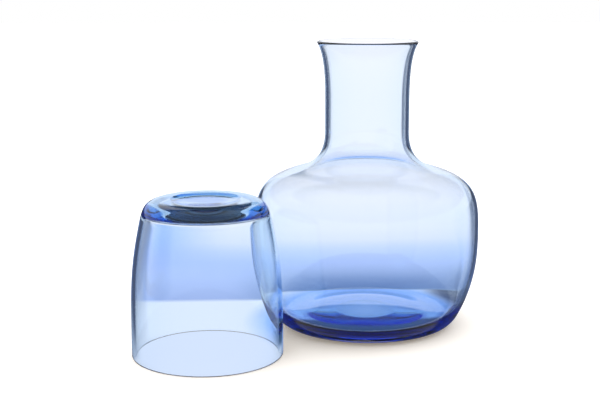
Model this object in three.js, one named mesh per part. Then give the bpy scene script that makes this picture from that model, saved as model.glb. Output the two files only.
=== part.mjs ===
// A blown glass carafe, and the tumbler that caps its neck, set down beside it on its rim.
// Millimetres, +Z up, seen from the -Y side. The origin is on the table, under the middle of the pair.
import * as THREE from "three";

// Carafe outside: each rise starts where the one below it ends
const bellyDiameter = 142;
const bellyHeight = 60;
const shoulderRise = 39.6;
const shoulderReach = 18.3; // the shoulder's turning point, out from the neck
const shoulderSlope = 16; // degrees down from level
const neckDiameter = 52.8;
const neckRootRise = 24.4;
const neckLength = 18; // the upright stretch
const flareRise = 36.6;
const lipOverhang = 4.9; // the lip, out from the neck
const lipLean = 30; // degrees out from upright

// Carafe foot
const heelHeight = 9.5;
const heelTuck = 10.8; // the heel, in from the belly
const heelLean = 27; // degrees out from upright
const sideRise = 14.5; // from the heel to where the wall is down to its even thickness
const sideTuck = 4.8; // that place, in from the belly
const sideLean = 17.7; // degrees out from upright
const footTuck = 17; // the edge of the standing ring, in from the heel
const carafeRingWidth = 8;
const carafeHollow = 0.4; // rise of the underside inside the standing ring
const carafePontilDiameter = 36;
const carafePontilDepth = 0.4;

// Carafe glass, square to its surface
const lipWall = 1.9;
const neckWall = 2.2;
const shoulderWall = 2;
const bellyWall = 2;
const sideWall = 2.1;
const carafeFloor = 7.5; // under the edge of the inside floor
const carafeFloorReach = 14; // from the inside of the wall to the edge of the floor
const carafeKick = 3.6; // rise of the middle of the inside floor

// Tumbler outside, from the rim up, as it stands on the table
const tumblerDiameter = 89.6;
const tumblerWallRise = 81;
const knuckleTuck = 6.4; // where the wall turns into the foot, in from the rim
const knuckleLean = 12.3; // degrees in from upright
const tumblerFootRise = 12.2;
const tumblerRingWidth = 2.4;
const tumblerPontilDiameter = 41;
const tumblerPontilDepth = 1.7;
const pontilSlope = 14; // degrees down from level, at the edge of the tumbler's pontil

// Tumbler glass, square to its surface
const rimWall = 2.3;
const rimRound = 0.5;
const knuckleWall = 2.3;
const tumblerFloor = 7.3; // over the edge of the inside floor
const tumblerFloorReach = 3.6; // from the inside knuckle to the edge of the floor
const tumblerFloorLean = 27; // degrees down from level, at that edge
const tumblerPontilFloor = 5.4; // between the pontil and the inside floor

// The tumbler is lifted straight up past the belly
const pairClearance = 0.8;
const tumblerBearing = 213.7; // degrees about the carafe's axis, from +X

// Fullness of a curve, as a share of its chord: a lip is a half circle, and a broad curve stays flat longer
const tightBend = 0.25;
const evenBend = 0.36;
const firmBend = 0.45;
const fullBend = 0.52;
const halfCircle = 2 / 3;
const broadBend = 0.75;

// Facets: how far a profile turns from one facet to the next, in degrees, and how long its facets are
const facetsAround = 48;
const facetTurn = 10;
const shortestFacet = 0.5;
const longestFacet = 15;

// Headings of a profile, in degrees: it runs from the axis out and up the outside, and back down the inside
const outwards = 0;
const upright = 90;
const backwards = 180;
const fullTurn = 360;

// A station is a point on a profile, with the heading in which the profile passes it.
function station(radius, height, heading) {
  return { point: new THREE.Vector2(radius, height), heading };
}

function direction(heading) {
  const angle = THREE.MathUtils.degToRad(heading);
  return new THREE.Vector2(Math.cos(angle), Math.sin(angle));
}

// The station on the other face of the glass, which the profile passes on its way back.
function across(from, wall) {
  const point = direction(from.heading + upright).multiplyScalar(wall).add(from.point);
  return { point, heading: from.heading + backwards };
}

// The lesser turn from one heading to another.
function turnBetween(first, second) {
  const ahead = THREE.MathUtils.euclideanModulo(second - first, fullTurn);
  return Math.min(ahead, fullTurn - ahead);
}

// A curve that leaves one station and reaches the next along their headings, as points up to the next.
function bend(from, to, leave, reach) {
  const chord = from.point.distanceTo(to.point);
  const first = direction(from.heading).multiplyScalar(chord * leave).add(from.point);
  const second = direction(to.heading).multiplyScalar(-chord * reach).add(to.point);
  const curve = new THREE.CubicBezierCurve(from.point, first, second, to.point);
  const turn = turnBetween(from.heading, to.heading);
  const stepsByTurn = Math.min(turn / facetTurn, chord / shortestFacet);
  const steps = Math.ceil(Math.max(stepsByTurn, chord / longestFacet));
  return curve.getPoints(steps).slice(0, -1);
}

// Degrees from level at the edge of a shallow dish.
function dishSlope(radius, depth) {
  return THREE.MathUtils.radToDeg(2 * Math.atan(depth / radius));
}

// Carafe stations on the outside
const bellyRadius = bellyDiameter / 2;
const neckRadius = neckDiameter / 2;
const shoulderHeight = bellyHeight + shoulderRise;
const neckRootHeight = shoulderHeight + neckRootRise;
const neckTopHeight = neckRootHeight + neckLength;
const lipHeight = neckTopHeight + flareRise;
const heelRadius = bellyRadius - heelTuck;
const sideRadius = bellyRadius - sideTuck;
const footRadius = heelRadius - footTuck;
const carafeRingRadius = footRadius - carafeRingWidth;

function carafeProfile() {
  const pontilRadius = carafePontilDiameter / 2;
  const pontilMiddle = station(0, carafeHollow + carafePontilDepth, outwards);
  const pontilSide = -dishSlope(pontilRadius, carafePontilDepth);
  const pontilEdge = station(pontilRadius, carafeHollow, pontilSide);
  const hollowEdge = station(carafeRingRadius, 0, -dishSlope(carafeRingRadius, carafeHollow));
  const hollowTop = { point: pontilEdge.point, heading: outwards };
  const foot = station(footRadius, 0, outwards);
  const heel = station(heelRadius, heelHeight, upright - heelLean);
  const side = station(sideRadius, heelHeight + sideRise, upright - sideLean);
  const belly = station(bellyRadius, bellyHeight, upright);
  const shoulder = station(neckRadius + shoulderReach, shoulderHeight, backwards - shoulderSlope);
  const neckRoot = station(neckRadius, neckRootHeight, upright);
  const neckTop = station(neckRadius, neckTopHeight, upright);
  const lip = station(neckRadius + lipOverhang, lipHeight, upright - lipLean);

  const lipInside = across(lip, lipWall);
  const neckTopInside = across(neckTop, neckWall);
  const neckRootInside = across(neckRoot, neckWall);
  const shoulderInside = across(shoulder, shoulderWall);
  const bellyInside = across(belly, bellyWall);
  const sideInside = across(side, sideWall);
  const floorEdge = station(sideInside.point.x - carafeFloorReach, carafeFloor, backwards);
  const floorMiddle = station(0, carafeFloor + carafeKick, backwards);

  return [
    ...bend(pontilMiddle, pontilEdge, evenBend, evenBend),
    ...bend(hollowTop, hollowEdge, evenBend, evenBend),
    hollowEdge.point,
    ...bend(foot, heel, fullBend, evenBend),
    ...bend(heel, side, evenBend, evenBend),
    ...bend(side, belly, evenBend, evenBend),
    ...bend(belly, shoulder, fullBend, fullBend),
    ...bend(shoulder, neckRoot, firmBend, firmBend),
    neckRoot.point,
    ...bend(neckTop, lip, evenBend, tightBend),
    ...bend(lip, lipInside, halfCircle, halfCircle),
    ...bend(lipInside, neckTopInside, tightBend, evenBend),
    neckTopInside.point,
    ...bend(neckRootInside, shoulderInside, firmBend, firmBend),
    ...bend(shoulderInside, bellyInside, fullBend, fullBend),
    ...bend(bellyInside, sideInside, evenBend, evenBend),
    ...bend(sideInside, floorEdge, evenBend, evenBend),
    ...bend(floorEdge, floorMiddle, evenBend, broadBend),
    floorMiddle.point,
  ];
}

// Tumbler stations, mouth down
const rimRadius = tumblerDiameter / 2;
const tumblerHeight = tumblerWallRise + tumblerFootRise;

function tumblerProfile() {
  const pontilRadius = tumblerPontilDiameter / 2;
  const floorHeight = tumblerHeight - tumblerFloor;
  const floorMiddle = station(0, tumblerHeight - tumblerPontilDepth - tumblerPontilFloor, outwards);
  const landOuter = station(rimRadius - rimRound, 0, outwards);
  const landInner = station(rimRadius - rimWall + rimRound, 0, outwards);
  const rim = station(rimRadius, rimRound, upright);
  const knuckle = station(rimRadius - knuckleTuck, tumblerWallRise, upright + knuckleLean);
  const ringOuter = station(pontilRadius + tumblerRingWidth, tumblerHeight, backwards);
  const pontilEdge = station(pontilRadius, tumblerHeight, backwards + pontilSlope);
  const pontilMiddle = station(0, tumblerHeight - tumblerPontilDepth, backwards);

  const rimInside = across(rim, rimWall);
  const knuckleInside = across(knuckle, knuckleWall);
  const floorEdge = station(knuckleInside.point.x - tumblerFloorReach, floorHeight, -tumblerFloorLean);

  return [
    ...bend(floorMiddle, floorEdge, evenBend, evenBend),
    ...bend(floorEdge, knuckleInside, evenBend, fullBend),
    ...bend(knuckleInside, rimInside, evenBend, fullBend),
    ...bend(rimInside, landInner, evenBend, evenBend),
    landInner.point,
    ...bend(landOuter, rim, evenBend, evenBend),
    ...bend(rim, knuckle, fullBend, evenBend),
    ...bend(knuckle, ringOuter, fullBend, fullBend),
    ringOuter.point,
    ...bend(pontilEdge, pontilMiddle, evenBend, fullBend),
    pontilMiddle.point,
  ];
}

// A profile from axis to axis, turned about +Z.
function turned(profile) {
  return new THREE.LatheGeometry(profile, facetsAround).rotateX(Math.PI / 2);
}

function blueGlass() {
  return new THREE.MeshStandardMaterial({
    color: 0x86aaf2,
    roughness: 0.04,
    metalness: 0,
    transparent: true,
    opacity: 0.5,
  });
}

const carafe = new THREE.Mesh(turned(carafeProfile()), blueGlass());
carafe.name = "carafe";

const tumbler = new THREE.Mesh(turned(tumblerProfile()), blueGlass());
tumbler.name = "tumbler";

// The tumbler stands clear of the belly by the clearance, along its bearing.
const axisSpacing = bellyRadius + rimRadius + pairClearance;
const tumblerPlace = direction(tumblerBearing).multiplyScalar(axisSpacing);
tumbler.position.set(tumblerPlace.x, tumblerPlace.y, 0);

// The pair is moved so that the origin lies under the middle of its footprint.
function middle(place) {
  const lowest = Math.min(-bellyRadius, place - rimRadius);
  const highest = Math.max(bellyRadius, place + rimRadius);
  return (lowest + highest) / 2;
}

const pair = new THREE.Group();
pair.add(carafe, tumbler);
pair.position.set(-middle(tumblerPlace.x), -middle(tumblerPlace.y), 0);

export default pair;
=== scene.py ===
from math import atan, cos, degrees, pi, radians, sin

import bmesh
import bpy
from mathutils import Matrix, Vector
from mathutils.geometry import interpolate_bezier


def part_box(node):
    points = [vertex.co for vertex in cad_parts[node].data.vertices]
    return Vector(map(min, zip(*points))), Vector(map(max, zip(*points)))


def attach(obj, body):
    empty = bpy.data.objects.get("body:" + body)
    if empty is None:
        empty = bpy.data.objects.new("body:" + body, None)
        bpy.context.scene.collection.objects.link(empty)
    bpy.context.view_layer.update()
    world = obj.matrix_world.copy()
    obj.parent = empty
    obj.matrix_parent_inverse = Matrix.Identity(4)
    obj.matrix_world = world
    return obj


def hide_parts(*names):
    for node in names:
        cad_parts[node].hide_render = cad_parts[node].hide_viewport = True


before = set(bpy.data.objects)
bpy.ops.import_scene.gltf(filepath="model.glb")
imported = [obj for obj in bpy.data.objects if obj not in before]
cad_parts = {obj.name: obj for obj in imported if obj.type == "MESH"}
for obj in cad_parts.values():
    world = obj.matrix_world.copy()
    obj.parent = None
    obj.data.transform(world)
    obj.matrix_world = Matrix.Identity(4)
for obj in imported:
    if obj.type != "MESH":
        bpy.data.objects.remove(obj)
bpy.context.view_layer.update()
mm = 0.001

# Headings of a profile, in degrees from level
outwards = 0
upright = 90
backwards = 180

# Fullness of a bend, as a share of its chord: a lip is a half circle, a broad bend stays flat longer
tightBend = 0.25
evenBend = 0.36
firmBend = 0.45
fullBend = 0.52
halfCircle = 2 / 3
broadBend = 0.75

# Shape: a profile is drawn in the XZ plane, from the axis round the glass and back to the axis


def station(radius, height, heading):
    return {"point": Vector((radius, 0, height)), "heading": heading}


def along(heading):
    return Vector((cos(radians(heading)), 0, sin(radians(heading))))


def across(first, wall):
    # the same place on the other face of the glass, passed on the way back
    point = first["point"] + along(first["heading"] + upright) * wall
    return {"point": point, "heading": first["heading"] + backwards}


def bend(first, second, leave, reach, steps):
    # handles run along both headings; the last point is left to the next bend
    chord = (second["point"] - first["point"]).length
    leaving = first["point"] + along(first["heading"]) * chord * leave
    arriving = second["point"] - along(second["heading"]) * chord * reach
    return interpolate_bezier(first["point"], leaving, arriving, second["point"], steps + 1)[:-1]


def dishSlope(radius, depth):
    # degrees from level at the edge of a shallow dish
    return degrees(2 * atan(depth / radius))


lathe = {"steps": 224, "mergeDistance": 0.002 * mm, "sharpAngle": radians(24)}


def axisOf(node):
    low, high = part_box(node)
    middle = (low + high) / 2
    return Vector((middle.x, middle.y, 0))


def blowGlass(name, profile, node, material):
    # spin the profile about the node's own axis
    axis = axisOf(node)
    bm = bmesh.new()
    verts = [bm.verts.new(axis + point) for point in profile]
    edges = [bm.edges.new(pair) for pair in zip(verts, verts[1:])]
    bmesh.ops.spin(
        bm,
        geom=verts + edges,
        cent=axis,
        axis=(0, 0, 1),
        angle=2 * pi,
        steps=lathe["steps"],
        use_merge=True,
    )
    bmesh.ops.remove_doubles(bm, verts=bm.verts, dist=lathe["mergeDistance"])
    bmesh.ops.recalc_face_normals(bm, faces=bm.faces)
    for face in bm.faces:
        face.smooth = True
    for edge in bm.edges:
        edge.smooth = edge.calc_face_angle(0) < lathe["sharpAngle"]
    mesh = bpy.data.meshes.new(name)
    bm.to_mesh(mesh)
    bm.free()
    mesh.materials.append(material)
    piece = bpy.data.objects.new(name, mesh)
    bpy.context.scene.collection.objects.link(piece)
    print(f"blew {name}: {len(mesh.polygons)} faces")
    return piece


# Node helpers

mixSockets = (0, 6, 7)  # a Mix node's factor and its two colours
mixResult = 2


def addNode(tree, kind, **settings):
    node = tree.nodes.new(kind)
    for name, value in settings.items():
        setattr(node, name, value)
    return node


def setInputs(node, **values):
    for name, value in values.items():
        node.inputs[name].default_value = value


def feed(tree, socket, value):
    # a number or a colour is set on the socket, and anything else is linked to it
    if isinstance(value, (int, float)):
        socket.default_value = value
    elif isinstance(value, tuple):
        socket.default_value = (*value, 1)
    else:
        tree.links.new(value, socket)


def maths(tree, operation, *values):
    node = addNode(tree, "ShaderNodeMath", operation=operation)
    for socket, value in zip(node.inputs, values):
        feed(tree, socket, value)
    return node.outputs[0]


def product(tree, first, *others):
    for other in others:
        first = maths(tree, "MULTIPLY", first, other)
    return first


def blend(tree, factor, first, second, how="MIX"):
    node = addNode(tree, "ShaderNodeMix", data_type="RGBA", blend_type=how)
    for index, value in zip(mixSockets, (factor, first, second)):
        feed(tree, node.inputs[index], value)
    return node.outputs[mixResult]


def spread(tree, value, limits, start=0, end=1):
    # eases from start to end while the value goes from one limit to the other
    node = addNode(tree, "ShaderNodeMapRange", interpolation_type="SMOOTHSTEP")
    tree.links.new(value, node.inputs["Value"])
    for name, limit in zip(("From Min", "From Max", "To Min", "To Max"), (*limits, start, end)):
        node.inputs[name].default_value = limit
    return node.outputs["Result"]


def rampOver(tree, value, stops):
    # a colour by a value, from stops that are pairs of a value and a colour
    low, high = stops[0][0], stops[-1][0]
    ramp = addNode(tree, "ShaderNodeValToRGB")
    elements = ramp.color_ramp.elements
    elements.remove(elements[1])
    for count, (stop, colour) in enumerate(stops):
        place = (stop - low) / (high - low)
        element = elements[0] if count == 0 else elements.new(place)
        element.position = place
        element.color = (*colour, 1)
    share = maths(tree, "DIVIDE", maths(tree, "SUBTRACT", value, low), high - low)
    tree.links.new(share, ramp.inputs["Fac"])
    return ramp.outputs["Color"]


# Blown surface: slow waves from the blowpipe, a few seeds in the metal, smears from handling

blownLook = {
    "waveScale": 26.0,
    "waveStretch": 0.4,
    "waveDetail": 1.0,
    "waveRoughness": 0.4,
    "seedScale": 150.0,
    "seedSize": 0.06,
    "smearScale": 60.0,
    "smearDetail": 4.0,
    "smearDistortion": 0.8,
    "smearFrom": (0.5, 0.75),
}


def makeBlownSurface():
    tree = bpy.data.node_groups.new("blownSurface", "ShaderNodeTree")
    tree.interface.new_socket("seedHeight", in_out="INPUT", socket_type="NodeSocketFloat")
    tree.interface.new_socket("smear", in_out="INPUT", socket_type="NodeSocketFloat")
    tree.interface.new_socket("height", in_out="OUTPUT", socket_type="NodeSocketFloat")
    tree.interface.new_socket("roughness", in_out="OUTPUT", socket_type="NodeSocketFloat")
    given = addNode(tree, "NodeGroupInput")
    result = addNode(tree, "NodeGroupOutput")
    place = addNode(tree, "ShaderNodeTexCoord").outputs["Object"]

    stretch = addNode(tree, "ShaderNodeMapping")
    setInputs(stretch, Scale=(1, 1, blownLook["waveStretch"]))
    tree.links.new(place, stretch.inputs["Vector"])
    wave = addNode(tree, "ShaderNodeTexNoise")
    setInputs(
        wave,
        Scale=blownLook["waveScale"],
        Detail=blownLook["waveDetail"],
        Roughness=blownLook["waveRoughness"],
    )
    tree.links.new(stretch.outputs["Vector"], wave.inputs["Vector"])

    seed = addNode(tree, "ShaderNodeTexVoronoi")
    setInputs(seed, Scale=blownLook["seedScale"])
    tree.links.new(place, seed.inputs["Vector"])
    dot = spread(tree, seed.outputs["Distance"], (0, blownLook["seedSize"]), 1, 0)
    seedHeight = product(tree, dot, given.outputs["seedHeight"])
    height = maths(tree, "ADD", wave.outputs["Fac"], seedHeight)
    tree.links.new(height, result.inputs["height"])

    smear = addNode(tree, "ShaderNodeTexNoise")
    setInputs(
        smear,
        Scale=blownLook["smearScale"],
        Detail=blownLook["smearDetail"],
        Distortion=blownLook["smearDistortion"],
    )
    tree.links.new(place, smear.inputs["Vector"])
    patch = spread(tree, smear.outputs["Fac"], blownLook["smearFrom"])
    tree.links.new(product(tree, patch, given.outputs["smear"]), result.inputs["roughness"])
    return tree


blownSurface = makeBlownSurface()

blueGlass = {
    "ior": 1.5,
    "absorption": (0.0, 0.52, 0.89),
    "density": 65.0,
    "waveHeight": 0.03 * mm,
    "smear": 0.012,
    "seedHeight": 0.3,
    "pontilMargin": 1 * mm,
}


def pontilMask(tree, node, diameter, span):
    # 1 on the ground spot, which lies between two heights about the node's axis
    centre = addNode(tree, "ShaderNodeMapping")
    setInputs(centre, Location=-axisOf(node))
    place = addNode(tree, "ShaderNodeTexCoord")
    tree.links.new(place.outputs["Object"], centre.inputs["Vector"])
    split = addNode(tree, "ShaderNodeSeparateXYZ")
    tree.links.new(centre.outputs["Vector"], split.inputs["Vector"])
    flat = addNode(tree, "ShaderNodeCombineXYZ")
    tree.links.new(split.outputs["X"], flat.inputs["X"])
    tree.links.new(split.outputs["Y"], flat.inputs["Y"])
    radius = addNode(tree, "ShaderNodeVectorMath", operation="LENGTH")
    tree.links.new(flat.outputs["Vector"], radius.inputs[0])
    inside = maths(tree, "LESS_THAN", radius.outputs["Value"], diameter / 2)
    over = maths(tree, "GREATER_THAN", split.outputs["Z"], span[0] - blueGlass["pontilMargin"])
    under = maths(tree, "LESS_THAN", split.outputs["Z"], span[1] + blueGlass["pontilMargin"])
    return product(tree, inside, over, under)


def makeBlueGlass(name, node, vessel, pontilSpan):
    # clear glass with colour in its depth; the pontil is ground, so it is duller there
    material = bpy.data.materials.new(name)
    material.use_nodes = True
    tree = material.node_tree
    glass = tree.nodes["Principled BSDF"]
    glass.inputs["Base Color"].default_value = (1, 1, 1, 1)
    glass.inputs["Transmission Weight"].default_value = 1.0
    glass.inputs["IOR"].default_value = blueGlass["ior"]

    surface = addNode(tree, "ShaderNodeGroup", node_tree=blownSurface)
    setInputs(surface, seedHeight=blueGlass["seedHeight"], smear=blueGlass["smear"])
    bump = addNode(tree, "ShaderNodeBump")
    setInputs(bump, Strength=1.0, Distance=blueGlass["waveHeight"])
    tree.links.new(surface.outputs["height"], bump.inputs["Height"])
    tree.links.new(bump.outputs["Normal"], glass.inputs["Normal"])

    ground = pontilMask(tree, node, vessel["pontilDiameter"], pontilSpan)
    dull = product(tree, ground, vessel["pontilRoughness"])
    rough = maths(tree, "MAXIMUM", dull, surface.outputs["roughness"])
    tree.links.new(rough, glass.inputs["Roughness"])

    depth = addNode(tree, "ShaderNodeVolumeAbsorption")
    setInputs(depth, Color=(*blueGlass["absorption"], 1), Density=blueGlass["density"])
    tree.links.new(depth.outputs["Volume"], tree.nodes["Material Output"].inputs["Volume"])
    print(f"mixed {name}")
    return material


# Carafe, from the table up

carafe = {
    "bellyDiameter": 142 * mm,
    "bellyHeight": 60 * mm,
    "shoulderRise": 39.6 * mm,
    "shoulderReach": 18.3 * mm,
    "shoulderSlope": 16,
    "neckDiameter": 52.8 * mm,
    "neckRootRise": 24.4 * mm,
    "neckLength": 18 * mm,
    "flareRise": 36.6 * mm,
    "lipOverhang": 4.9 * mm,
    "lipLean": 30,
    "heelHeight": 9.5 * mm,
    "heelTuck": 10.8 * mm,
    "heelLean": 27,
    "sideRise": 14.5 * mm,
    "sideTuck": 4.8 * mm,
    "sideLean": 17.7,
    "footTuck": 17 * mm,
    "ringWidth": 8 * mm,
    "hollow": 0.4 * mm,
    "pontilDiameter": 36 * mm,
    "pontilDepth": 0.4 * mm,
    "lipWall": 1.9 * mm,
    "neckWall": 2.2 * mm,
    "shoulderWall": 2.0 * mm,
    "bellyWall": 2.0 * mm,
    "sideWall": 2.1 * mm,
    "floor": 7.5 * mm,
    "floorReach": 14 * mm,
    "kick": 3.6 * mm,
    "pontilRoughness": 0.12,
}


def carafeProfile(size):
    belly = size["bellyDiameter"] / 2
    neck = size["neckDiameter"] / 2
    heelRadius = belly - size["heelTuck"]
    footRadius = heelRadius - size["footTuck"]
    ringRadius = footRadius - size["ringWidth"]
    pontilRadius = size["pontilDiameter"] / 2
    sideHeight = size["heelHeight"] + size["sideRise"]
    shoulderHeight = size["bellyHeight"] + size["shoulderRise"]
    rootHeight = shoulderHeight + size["neckRootRise"]
    topHeight = rootHeight + size["neckLength"]
    lipHeight = topHeight + size["flareRise"]

    pontilMiddle = station(0, size["hollow"] + size["pontilDepth"], outwards)
    pontilEdge = station(pontilRadius, size["hollow"], -dishSlope(pontilRadius, size["pontilDepth"]))
    hollowTop = station(pontilRadius, size["hollow"], outwards)
    hollowEdge = station(ringRadius, 0, -dishSlope(ringRadius, size["hollow"]))
    ring = station(ringRadius, 0, outwards)
    foot = station(footRadius, 0, outwards)
    heel = station(heelRadius, size["heelHeight"], upright - size["heelLean"])
    side = station(belly - size["sideTuck"], sideHeight, upright - size["sideLean"])
    widest = station(belly, size["bellyHeight"], upright)
    shoulder = station(neck + size["shoulderReach"], shoulderHeight, backwards - size["shoulderSlope"])
    root = station(neck, rootHeight, upright)
    top = station(neck, topHeight, upright)
    lip = station(neck + size["lipOverhang"], lipHeight, upright - size["lipLean"])

    lipInside = across(lip, size["lipWall"])
    topInside = across(top, size["neckWall"])
    rootInside = across(root, size["neckWall"])
    shoulderInside = across(shoulder, size["shoulderWall"])
    widestInside = across(widest, size["bellyWall"])
    sideInside = across(side, size["sideWall"])
    floorEdge = station(sideInside["point"].x - size["floorReach"], size["floor"], backwards)
    floorMiddle = station(0, size["floor"] + size["kick"], backwards)

    return [
        *bend(pontilMiddle, pontilEdge, evenBend, evenBend, steps=12),
        *bend(hollowTop, hollowEdge, evenBend, evenBend, steps=12),
        *bend(ring, foot, evenBend, evenBend, steps=6),
        *bend(foot, heel, fullBend, evenBend, steps=20),
        *bend(heel, side, evenBend, evenBend, steps=14),
        *bend(side, widest, evenBend, evenBend, steps=20),
        *bend(widest, shoulder, fullBend, fullBend, steps=28),
        *bend(shoulder, root, firmBend, firmBend, steps=24),
        *bend(root, top, evenBend, evenBend, steps=8),
        *bend(top, lip, evenBend, tightBend, steps=18),
        *bend(lip, lipInside, halfCircle, halfCircle, steps=12),
        *bend(lipInside, topInside, tightBend, evenBend, steps=18),
        *bend(topInside, rootInside, evenBend, evenBend, steps=8),
        *bend(rootInside, shoulderInside, firmBend, firmBend, steps=24),
        *bend(shoulderInside, widestInside, fullBend, fullBend, steps=28),
        *bend(widestInside, sideInside, evenBend, evenBend, steps=20),
        *bend(sideInside, floorEdge, evenBend, evenBend, steps=24),
        *bend(floorEdge, floorMiddle, evenBend, broadBend, steps=28),
        floorMiddle["point"],
    ]


carafePontilTop = carafe["hollow"] + carafe["pontilDepth"]
carafeGlass = makeBlueGlass("carafeGlass", "carafe", carafe, (0, carafePontilTop))
carafeShell = blowGlass("carafe_glass", carafeProfile(carafe), "carafe", carafeGlass)
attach(carafeShell, "carafe")
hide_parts("carafe")

# Tumbler, mouth down, from the rim up

tumbler = {
    "rimDiameter": 89.6 * mm,
    "wallRise": 81 * mm,
    "knuckleTuck": 6.4 * mm,
    "knuckleLean": 12.3,
    "footRise": 12.2 * mm,
    "ringWidth": 2.4 * mm,
    "pontilDiameter": 41 * mm,
    "pontilDepth": 1.7 * mm,
    "pontilSlope": 14,
    "rimWall": 2.3 * mm,
    "rimRound": 0.5 * mm,
    "knuckleWall": 2.3 * mm,
    "floor": 7.3 * mm,
    "floorReach": 3.6 * mm,
    "floorLean": 27,
    "pontilFloor": 5.4 * mm,
    "pontilRoughness": 0.04,
}


def tumblerProfile(size):
    rimRadius = size["rimDiameter"] / 2
    pontilRadius = size["pontilDiameter"] / 2
    height = size["wallRise"] + size["footRise"]
    floorHeight = height - size["floor"]

    floorMiddle = station(0, height - size["pontilDepth"] - size["pontilFloor"], outwards)
    landInner = station(rimRadius - size["rimWall"] + size["rimRound"], 0, outwards)
    landOuter = station(rimRadius - size["rimRound"], 0, outwards)
    rim = station(rimRadius, size["rimRound"], upright)
    knuckle = station(rimRadius - size["knuckleTuck"], size["wallRise"], upright + size["knuckleLean"])
    ringOuter = station(pontilRadius + size["ringWidth"], height, backwards)
    ringInner = station(pontilRadius, height, backwards)
    pontilEdge = station(pontilRadius, height, backwards + size["pontilSlope"])
    pontilMiddle = station(0, height - size["pontilDepth"], backwards)

    rimInside = across(rim, size["rimWall"])
    knuckleInside = across(knuckle, size["knuckleWall"])
    floorEdge = station(knuckleInside["point"].x - size["floorReach"], floorHeight, -size["floorLean"])

    return [
        *bend(floorMiddle, floorEdge, evenBend, evenBend, steps=16),
        *bend(floorEdge, knuckleInside, evenBend, fullBend, steps=20),
        *bend(knuckleInside, rimInside, evenBend, fullBend, steps=32),
        *bend(rimInside, landInner, evenBend, evenBend, steps=6),
        *bend(landInner, landOuter, evenBend, evenBend, steps=4),
        *bend(landOuter, rim, evenBend, evenBend, steps=6),
        *bend(rim, knuckle, fullBend, evenBend, steps=32),
        *bend(knuckle, ringOuter, fullBend, fullBend, steps=24),
        *bend(ringOuter, ringInner, evenBend, evenBend, steps=4),
        *bend(pontilEdge, pontilMiddle, evenBend, fullBend, steps=24),
        pontilMiddle["point"],
    ]


tumblerHeight = tumbler["wallRise"] + tumbler["footRise"]
tumblerPontilLow = tumblerHeight - tumbler["pontilDepth"]
tumblerGlass = makeBlueGlass("tumblerGlass", "tumbler", tumbler, (tumblerPontilLow, tumblerHeight))
tumblerShell = blowGlass("tumbler_glass", tumblerProfile(tumbler), "tumbler", tumblerGlass)
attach(tumblerShell, "tumbler")
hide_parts("tumbler")

# Studio: the eye sees a white floor with a soft shadow; the glass sees a table, a sweep and a room

restGap = 0.1 * mm  # between the glass and what it stands on


def makeStage(name, low, high, splay=0):
    # a flat sheet under the glass, wider at the back by its splay, that is no part of the object
    mesh = bpy.data.meshes.new(name)
    bm = bmesh.new()
    bmesh.ops.create_grid(bm, x_segments=1, y_segments=1, size=0.5)
    bmesh.ops.scale(bm, vec=(high[0] - low[0], high[1] - low[1], 1), verts=bm.verts)
    middle = Vector(((low[0] + high[0]) / 2, (low[1] + high[1]) / 2, -restGap))
    bmesh.ops.translate(bm, vec=middle, verts=bm.verts)
    for vert in bm.verts:
        if vert.co.y > middle.y:
            vert.co.x += splay * (high[1] - low[1]) * (1 if vert.co.x > middle.x else -1)
    bm.to_mesh(mesh)
    bm.free()
    piece = bpy.data.objects.new(name, mesh)
    bpy.context.scene.collection.objects.link(piece)
    material = bpy.data.materials.new(name)
    material.use_nodes = True
    mesh.materials.append(material)
    material.node_tree.nodes.remove(material.node_tree.nodes["Principled BSDF"])
    return piece, material.node_tree


# Floor that the eye sees

floor = {"size": 8.0, "colour": (0.9, 0.9, 0.9), "glow": (0.27, 0.22, 0.15)}


def makeFloor():
    reach = floor["size"] / 2
    sheet, tree = makeStage("floor", (-reach, -reach), (reach, reach))
    sheet.visible_diffuse = False
    sheet.visible_glossy = False
    sheet.visible_transmission = False
    matt = addNode(tree, "ShaderNodeBsdfDiffuse")
    setInputs(matt, Color=(*floor["colour"], 1))
    glow = addNode(tree, "ShaderNodeEmission")
    setInputs(glow, Color=(*floor["glow"], 1), Strength=1.0)
    lit = addNode(tree, "ShaderNodeAddShader")
    tree.links.new(matt.outputs["BSDF"], lit.inputs[0])
    tree.links.new(glow.outputs["Emission"], lit.inputs[1])
    tree.links.new(lit.outputs["Shader"], tree.nodes["Material Output"].inputs["Surface"])


# Table and sweep that the glass sees; a slant is the share of aside to ahead, from the sweep's eye

tableEdge = 71 * mm
sweep = {
    "middle": -7 * mm,
    "halfWidth": 135 * mm,
    "splay": 0.21,
    "front": -110 * mm,
    "back": 900 * mm,
    "eye": 729 * mm,
    "tableSkew": 0.05,
    "leftFade": (-0.195, -0.125),
    "rightFade": (0.165, 0.2),
    "backShade": (0.38, 0.50, 0.62),
    "backShadeAway": (tableEdge, 186 * mm),
    "backShadeAside": (-60 * mm, 0 * mm),
    "leftShade": (0.5, 0.7, 1.08),
    "leftShadeSlant": (-0.14, -0.045),
    "leftShadeAway": (145 * mm, 265 * mm),
}

# Colours of the table and the sweep, by how far back they lie: the table is evenly white, and painted
# shade darkens the sweep just behind the table's edge and fades out towards the back
sweepShadedColours = [
    (sweep["front"], (1.05, 1.05, 1.15)),
    (tableEdge, (1.05, 1.05, 1.15)),
    (tableEdge + mm, (0.46, 0.56, 0.94)),
    (132 * mm, (0.57, 0.69, 1.09)),
    (180 * mm, (0.59, 0.72, 1.17)),
    (215 * mm, (0.74, 0.83, 1.18)),
    (249 * mm, (0.98, 0.98, 1.18)),
    (296 * mm, (1.08, 1.05, 1.18)),
    (365 * mm, (1.11, 1.08, 1.18)),
    (500 * mm, (1.20, 1.13, 1.18)),
    (sweep["back"], (1.22, 1.14, 1.18)),
]
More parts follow.
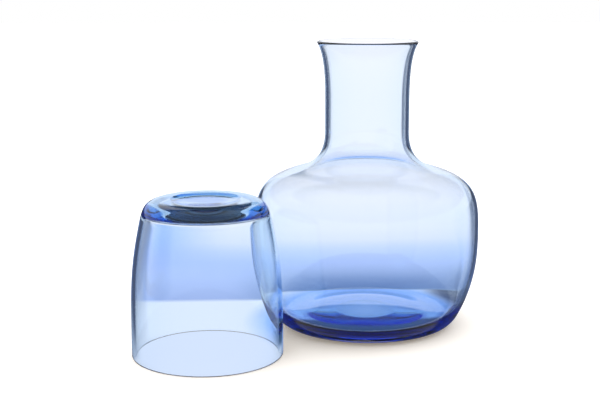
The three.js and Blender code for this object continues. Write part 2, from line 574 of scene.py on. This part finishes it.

# Painted shade on the table, by the distance from a vessel's axis; under the carafe, painted light
# through the glass tints it blue and lightens its middle
tableShades = {
    "carafe": [
        (0, (0.80, 0.90, 1.20)),
        (12 * mm, (0.62, 0.80, 1.16)),
        (22 * mm, (0.43, 0.65, 1.12)),
        (57 * mm, (0.43, 0.65, 1.12)),
        (78 * mm, (1, 1, 1)),
    ],
    "tumbler": [
        (0, (0.76, 0.83, 0.92)),
        (42 * mm, (0.76, 0.83, 0.92)),
        (50 * mm, (1, 1, 1)),
    ],
}

# The carafe's deeper shade on the table, in front of it and to its right
deepShade = {
    "frontColour": (0.14, 0.19, 0.18),
    "frontEdge": (-5 * mm, 4 * mm),
    "frontNear": (-38 * mm, -26 * mm),
    "frontRest": 0.75,
    "frontLeft": (-22 * mm, -4 * mm),
    "frontFade": (62 * mm, 84 * mm),
    "rightColour": (0.12, 0.15, 0.22),
    "rightEdge": (72 * mm, 94 * mm),
    "rightRing": (55 * mm, 69 * mm),
    "fade": (98 * mm, 145 * mm),
}


def distanceFrom(tree, place, point):
    gap = addNode(tree, "ShaderNodeVectorMath", operation="DISTANCE")
    tree.links.new(place, gap.inputs[0])
    gap.inputs[1].default_value = point - Vector((0, 0, restGap))
    return gap.outputs["Value"]


def colourSweep(tree, place, aside, away, slant):
    # the sweep's colours, with painted shade just behind the table's edge
    colour = rampOver(tree, away, sweepShadedColours)
    onTable = maths(tree, "LESS_THAN", away, tableEdge)

    # the carafe's own shade lies on the sweep behind it
    behind = product(
        tree,
        spread(tree, away, sweep["backShadeAway"], 1, 0),
        spread(tree, aside, sweep["backShadeAside"]),
        maths(tree, "GREATER_THAN", away, tableEdge),
    )
    colour = blend(tree, behind, colour, sweep["backShade"], "MULTIPLY")

    # both vessels shade the table under them, and the carafe shades it deeper in two places
    for node, stops in tableShades.items():
        shade = rampOver(tree, distanceFrom(tree, place, axisOf(node)), stops)
        colour = blend(tree, onTable, colour, shade, "MULTIPLY")
    gap = distanceFrom(tree, place, axisOf("carafe"))
    near = product(tree, onTable, spread(tree, gap, deepShade["fade"], 1, 0))
    front = product(
        tree,
        near,
        spread(tree, away, deepShade["frontEdge"], 1, 0),
        spread(tree, away, deepShade["frontNear"], deepShade["frontRest"], 1),
        spread(tree, aside, deepShade["frontLeft"]),
        spread(tree, gap, deepShade["frontFade"], 1, 0),
    )
    colour = blend(tree, front, colour, deepShade["frontColour"], "MULTIPLY")
    right = product(
        tree,
        near,
        spread(tree, gap, deepShade["rightRing"]),
        spread(tree, aside, deepShade["rightEdge"]),
    )
    colour = blend(tree, right, colour, deepShade["rightColour"], "MULTIPLY")

    # painted shade makes the sweep's far left darker and bluer
    left = product(
        tree,
        spread(tree, slant, sweep["leftShadeSlant"], 1, 0),
        spread(tree, away, sweep["leftShadeAway"]),
    )
    return blend(tree, left, colour, sweep["leftShade"], "MULTIPLY")


def makeSweep():
    low = (sweep["middle"] - sweep["halfWidth"], sweep["front"])
    high = (sweep["middle"] + sweep["halfWidth"], sweep["back"])
    sheet, tree = makeStage("sweep", low, high, sweep["splay"])
    sheet.visible_camera = False
    sheet.visible_diffuse = False
    sheet.visible_glossy = False
    sheet.visible_shadow = False
    place = addNode(tree, "ShaderNodeTexCoord").outputs["Object"]
    split = addNode(tree, "ShaderNodeSeparateXYZ")
    tree.links.new(place, split.inputs["Vector"])
    aside = split.outputs["X"]
    away = maths(tree, "SUBTRACT", split.outputs["Y"], product(tree, aside, sweep["tableSkew"]))
    ahead = maths(tree, "ADD", away, sweep["eye"])
    slant = maths(tree, "DIVIDE", maths(tree, "SUBTRACT", aside, sweep["middle"]), ahead)

    glow = addNode(tree, "ShaderNodeEmission")
    tree.links.new(colourSweep(tree, place, aside, away, slant), glow.inputs["Color"])
    # it fades out towards both sides, where the room shows instead
    clear = addNode(tree, "ShaderNodeBsdfTransparent")
    fade = addNode(tree, "ShaderNodeMixShader")
    fromLeft = spread(tree, slant, sweep["leftFade"])
    fromRight = spread(tree, slant, sweep["rightFade"], 1, 0)
    tree.links.new(product(tree, fromLeft, fromRight), fade.inputs["Fac"])
    tree.links.new(clear.outputs["BSDF"], fade.inputs[1])
    tree.links.new(glow.outputs["Emission"], fade.inputs[2])
    tree.links.new(fade.outputs["Shader"], tree.nodes["Material Output"].inputs["Surface"])


# Room round the glass; bearings run both ways from the back, and rises from level, in degrees

room = {
    "eyeColour": (1, 1, 1),
    "wall": (1.20, 1.13, 1.16),
    "wallTurn": 1.2,
    "wallEdge": (12.5, 14.5),
    "wallRoof": (15.9, 16.9),
    "sideEnd": (40, 52),
    "farSide": (0.92, 0.95, 1.02),
    "roof": (0.03, 0.032, 0.036),
    "card": (0.08, 0.09, 0.14),
    "cardEnd": (52, 62),
    "cardTop": (2, 5),
    "boxColour": (1.0, 1.0, 1.05),
    "boxBearing": (10, 14),
    "boxBottom": (14, 17),
    "boxTop": (40, 46),
    "behindEye": (0.3, 0.3, 0.32),
    "aheadFade": (-0.4, 0.4),
}

# Colours of the room in reflections, by the rise
glossBands = [
    (-60, (0.60, 0.60, 0.62)),
    (-45, (0.50, 0.50, 0.52)),
    (-38, (0.06, 0.06, 0.07)),
    (-21, (0.06, 0.06, 0.07)),
    (-16, (0.40, 0.54, 0.94)),
    (-12, (0.57, 0.69, 1.03)),
    (4, (0.95, 1.0, 1.1)),
    (16.5, (0.95, 1.0, 1.1)),
    (18, room["roof"]),
    (50, room["roof"]),
    (62, (0.6, 0.6, 0.6)),
]

# Colours of the sides that show through the glass, by the rise
sideBands = [
    (-3, (0.10, 0.12, 0.19)),
    (1, (0.03, 0.03, 0.034)),
    (5, (0.85, 0.90, 1.0)),
    (14, (0.85, 0.90, 1.0)),
    (17, room["roof"]),
]


def makeWorld():
    world = bpy.data.worlds.new("studio")
    bpy.context.scene.world = world
    world.use_nodes = True
    tree = world.node_tree
    split = addNode(tree, "ShaderNodeSeparateXYZ")
    tree.links.new(addNode(tree, "ShaderNodeTexCoord").outputs["Generated"], split.inputs["Vector"])
    turn = maths(tree, "ARCTAN2", split.outputs["X"], split.outputs["Y"])
    bearing = maths(tree, "ABSOLUTE", maths(tree, "SUBTRACT", turn, radians(room["wallTurn"])))
    rise = maths(tree, "ARCSINE", split.outputs["Z"])
    ahead = spread(tree, split.outputs["Y"], room["aheadFade"])

    def pastBearing(limits):
        return spread(tree, bearing, [radians(limit) for limit in limits])

    def above(limits):
        return spread(tree, rise, [radians(limit) for limit in limits])

    def below(limits):
        return spread(tree, rise, [radians(limit) for limit in limits], 1, 0)

    def banded(bands):
        return rampOver(tree, rise, [(radians(angle), colour) for angle, colour in bands])

    # through the glass: a bright wall at the back, banded sides, pale ones further round, a dark roof
    wall = blend(tree, above(room["wallRoof"]), room["wall"], room["roof"])
    wall = blend(tree, pastBearing(room["wallEdge"]), wall, banded(sideBands))
    far = blend(tree, above(room["wallRoof"]), room["farSide"], room["roof"])
    wall = blend(tree, pastBearing(room["sideEnd"]), wall, far)

    # in reflections: bands by the rise, light boxes on both sides, and low dark cards under them
    gloss = blend(tree, ahead, room["behindEye"], banded(glossBands))
    box = product(
        tree,
        ahead,
        pastBearing(room["boxBearing"]),
        above(room["boxBottom"]),
        below(room["boxTop"]),
    )
    gloss = blend(tree, box, gloss, room["boxColour"])
    cards = maths(tree, "SUBTRACT", pastBearing(room["wallEdge"]), pastBearing(room["cardEnd"]))
    gloss = blend(tree, product(tree, cards, below(room["cardTop"])), gloss, room["card"])

    path = addNode(tree, "ShaderNodeLightPath")
    seen = blend(tree, path.outputs["Is Transmission Ray"], gloss, wall)
    seen = blend(tree, path.outputs["Is Camera Ray"], seen, room["eyeColour"])
    tree.links.new(seen, tree.nodes["Background"].inputs["Color"])


# One broad light overhead, for the floor's shadow

lamp = {"spread": 110, "strength": 3.5}


def makeLamp():
    light = bpy.data.lights.new("overhead", "SUN")
    light.angle = radians(lamp["spread"])
    light.energy = lamp["strength"]
    source = bpy.data.objects.new("overhead", light)
    source.visible_camera = False
    source.visible_glossy = False
    source.visible_transmission = False
    bpy.context.scene.collection.objects.link(source)


makeWorld()
makeFloor()
makeSweep()
makeLamp()
print("lit the studio")

# Camera at the photograph's place, measured from the carafe's axis

camera = {
    "lens": 72,
    "sensorWidth": 36,
    "aside": -42.1 * mm,
    "back": 748.3 * mm,
    "height": 226.3 * mm,
    "tiltDown": 11.1,
    "roll": -0.1,
}


def makeCamera():
    data = bpy.data.cameras.new("camera")
    data.sensor_width = camera["sensorWidth"]
    data.lens = camera["lens"]
    eye = bpy.data.objects.new("camera", data)
    bpy.context.scene.collection.objects.link(eye)
    place = axisOf("carafe") + Vector((camera["aside"], -camera["back"], camera["height"]))
    look = Matrix.Rotation(radians(upright - camera["tiltDown"]), 4, "X")
    lean = Matrix.Rotation(radians(camera["roll"]), 4, "Z")
    eye.matrix_world = Matrix.Translation(place) @ look @ lean
    bpy.context.scene.camera = eye


makeCamera()
glassBounces = 32  # a ray meets many faces of glass
glossBounces = 16
scene = bpy.context.scene
scene.view_settings.view_transform = "Standard"
scene.cycles.max_bounces = glassBounces
scene.cycles.transmission_bounces = glassBounces
scene.cycles.glossy_bounces = glossBounces
print("set the camera")
